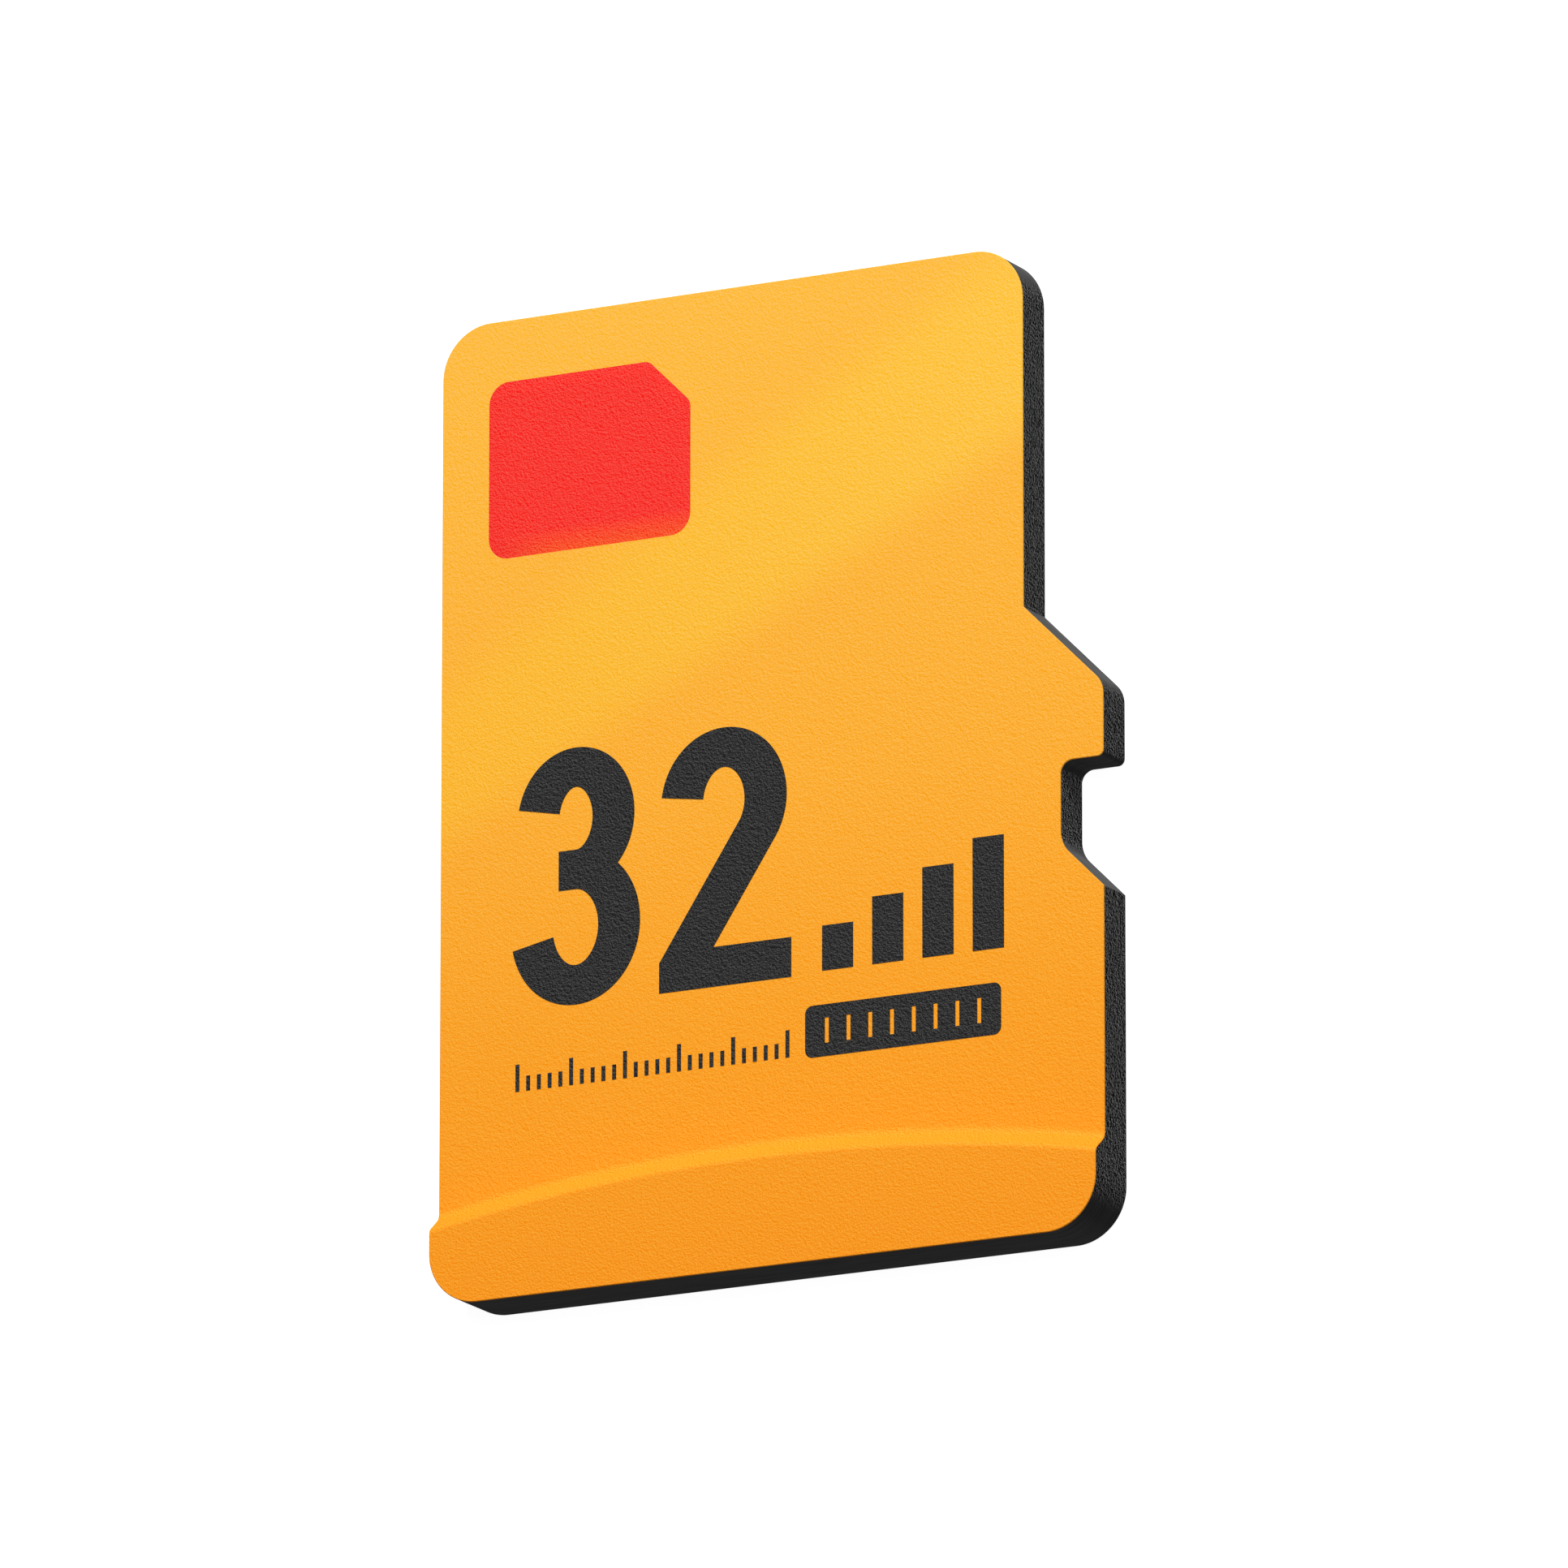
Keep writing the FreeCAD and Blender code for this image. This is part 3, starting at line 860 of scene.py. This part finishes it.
def numeral_three(x, y, width, height):
    """Strokes of a three in a box from its lower left corner."""
    top = y + height - BAR / 2
    waist = y + THREE_WAIST * height
    foot = y + BAR / 2
    middle = x + NUMERAL_MIDDLE * width
    upper_reach = THREE_UPPER_REACH * width - STEM / 2
    lower_reach = THREE_LOWER_REACH * width - STEM / 2
    upper = oval_line((middle, (top + waist) / 2), upper_reach, (top - waist) / 2, THREE_TIP_ANGLE, -90)
    lower = oval_line((middle, (waist + foot) / 2), lower_reach, (waist - foot) / 2, 90, -THREE_TIP_ANGLE)
    bridge = [Vector((middle + share * width, waist)) for share in THREE_BRIDGE]
    return [stroke(upper), stroke(lower), stroke(bridge)]


def numeral_two(x, y, width, height):
    """Strokes of a two in a box from its lower left corner."""
    top = y + height - BAR / 2
    centre = (x + NUMERAL_MIDDLE * width, y + TWO_BOWL_LEVEL * height)
    reach = TWO_BOWL_REACH * width - STEM / 2
    heel = Vector((x + TWO_HEEL * width, y + TWO_HEEL_RISE * BAR))
    spine = oval_line(centre, reach, top - centre[1], *TWO_BOWL_ANGLES) + [heel]
    outline = stroke(spine)
    corner = outline[len(spine)]
    base = box_path(corner.x, x + width, y, y + BAR)
    base[0] = Vector((heel.x, y + BAR))
    return [outline, base + [corner]]


def numerals(finish):
    """Two large numerals, side by side."""
    x0, x1, y0, y1 = NUMERALS
    strokes = numeral_three(x0, y0, NUMERAL_WIDTH, y1 - y0)
    strokes += numeral_two(x1 - NUMERAL_WIDTH, y0, NUMERAL_WIDTH, y1 - y0)
    ink_piece("ink_numerals", strokes, finish)


def rising_bars(finish):
    """Row of bars, each taller than the last by the same step."""
    x0, x1, y0, y1 = RISING_BARS
    pitch = (x1 - x0) / (RISING_BAR_COUNT - 1 + RISING_BAR_SHARE)
    bars = []
    for i in range(RISING_BAR_COUNT):
        start = x0 + i * pitch
        share = (i + 2) / (RISING_BAR_COUNT + 1)
        bars.append(box_path(start, start + pitch * RISING_BAR_SHARE, y0, y0 + (y1 - y0) * share))
    ink_piece("ink_rising_bars", bars, finish)


def tick_scale(finish):
    """Row of short ticks, with a long one at each fifth."""
    x0, x1, y0, y1 = SCALE_ROW
    pitch = (x1 - x0 - TICK_WIDTH) / (SCALE_TICKS - 1)
    ticks = []
    for i in range(SCALE_TICKS):
        start = x0 + i * pitch
        share = 1.0 if i % SCALE_LONG_EVERY == 0 else SCALE_SHORT_SHARE
        ticks.append(box_path(start, start + TICK_WIDTH, y0, y0 + (y1 - y0) * share))
    ink_piece("ink_scale", ticks, finish)


def dark_strip(finish):
    """Rounded strip with a row of bare ticks."""
    x0, x1, y0, y1 = STRIP
    corners = box_corners(Vector((x0, y0)), Vector((x1, y1)), STRIP_RADIUS)
    shapes = [rounded_path(corners)]
    pitch = (x1 - x0) / (STRIP_TICKS + 1)
    for i in range(STRIP_TICKS):
        start = x0 + (i + 1) * pitch - TICK_WIDTH / 2
        shapes.append(box_path(start, start + TICK_WIDTH, y0 + STRIP_TICK_MARGIN, y1 - STRIP_TICK_MARGIN))
    ink_piece("ink_strip", shapes, finish, holes=True)


def dress_sealed(finishes):
    """Give each sealed node, which keeps its solid's shape, the finish that fits the start of its name."""
    for name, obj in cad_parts.items():
        finish = next((finishes[start] for start in finishes if name.startswith(start)), None)
        if finish:
            obj.data.materials.clear()
            obj.data.materials.append(finish)


def camera():
    """Camera at the photograph's angle."""
    data = bpy.data.cameras.new("camera")
    data.lens = CAMERA_LENS
    data.sensor_width = CAMERA_SENSOR
    data.clip_start, data.clip_end = CAMERA_CLIP
    made = bpy.data.objects.new("camera", data)
    bpy.context.scene.collection.objects.link(made)
    back = CAMERA_RIGHT.cross(CAMERA_UP)
    turn = Matrix((CAMERA_RIGHT, CAMERA_UP, back)).transposed()
    made.matrix_world = Matrix.Translation(CAMERA_PLACE) @ turn.to_4x4()
    bpy.context.scene.camera = made


def softbox(name, place, size, power):
    """Square area light aimed at the card."""
    data = bpy.data.lights.new(name, "AREA")
    data.size = size
    data.energy = power
    made = bpy.data.objects.new(name, data)
    made.location = place
    made.rotation_mode = "QUATERNION"
    made.rotation_quaternion = (-Vector(place)).to_track_quat("-Z", "Y")
    bpy.context.scene.collection.objects.link(made)


def floor():
    """Pale floor that lights nothing and mirrors in nothing."""
    corners = box_path(-FLOOR_HALF, FLOOR_HALF, -FLOOR_HALF, FLOOR_HALF)
    mesh = bpy.data.meshes.new("floor")
    mesh.from_pydata(at_height(corners[::-1], -FLOOR_GAP), [], [(0, 1, 2, 3)])
    finish, _, shader = material("pale_floor", roughness=0.9, specular=0.1)
    shader.inputs["Base Color"].default_value = FLOOR_TONE
    shader.inputs["Emission Color"].default_value = WHITE
    shader.inputs["Emission Strength"].default_value = FLOOR_GLOW
    mesh.materials.append(finish)
    made = bpy.data.objects.new("floor", mesh)
    bpy.context.scene.collection.objects.link(made)
    made.visible_diffuse = False
    made.visible_glossy = False


def surround():
    """Even white surround and a plain view transform."""
    world = bpy.data.worlds.new("surround")
    world.use_nodes = True
    background = world.node_tree.nodes["Background"]
    background.inputs["Color"].default_value = WHITE
    background.inputs["Strength"].default_value = SURROUND_STRENGTH
    bpy.context.scene.world = world
    bpy.context.scene.view_settings.view_transform = "Standard"


ink_finish = ink_material()
gold_finish = metal_material("contact_gold", (229, 185, 105), (236, 194, 113), roughness=0.28)
copper_finish = metal_material("etched_copper", (168, 98, 62), (214, 140, 98), roughness=0.35)
tin_finish = metal_material("tin_plating", (170, 170, 172), (205, 205, 206), roughness=0.35)
silicon_finish = mottled_material("silicon", (66, 70, 80), (92, 96, 108), SILICON_CLOUD, roughness=0.2)
film_finish = mottled_material("attach_film", (150, 132, 92), (176, 158, 116), FILM_CLOUD, roughness=0.6)
ceramic_finish = mottled_material("ceramic", (140, 106, 74), (168, 132, 98), CERAMIC_CLOUD, roughness=0.5)

front_coat(coat_material())
body(black_material("moulded_epoxy_and_painted_light", EDGE_GLINT_GREYS, roughness=0.6, specular=0.05, depth=EDGE_GRAIN_DEPTH))
board(black_material("laminate_edge_and_painted_light", EDGE_GLINT_GREYS, roughness=0.6, specular=0.05, depth=EDGE_GRAIN_DEPTH))
solder_mask(black_material("solder_mask", MASK_GREYS, roughness=0.4, specular=0.3, depth=MASK_GRAIN_DEPTH))
contacts(gold_finish)
red_field(red_material())
numerals(ink_finish)
rising_bars(ink_finish)
tick_scale(ink_finish)
dark_strip(ink_finish)
dress_sealed({
    "flash_die": silicon_finish,
    "controller_die": silicon_finish,
    "flash_film": film_finish,
    "controller_film": film_finish,
    "flash_bond": gold_finish,
    "controller_bond": gold_finish,
    "contact_tracks": copper_finish,
    "memory_tracks": copper_finish,
    "capacitor_lands": copper_finish,
    "capacitor_terminals": tin_finish,
    "capacitor": ceramic_finish,
})

camera()
floor()
softbox("key_light", *KEY_LIGHT)
softbox("fill_light", *FILL_LIGHT)
surround()
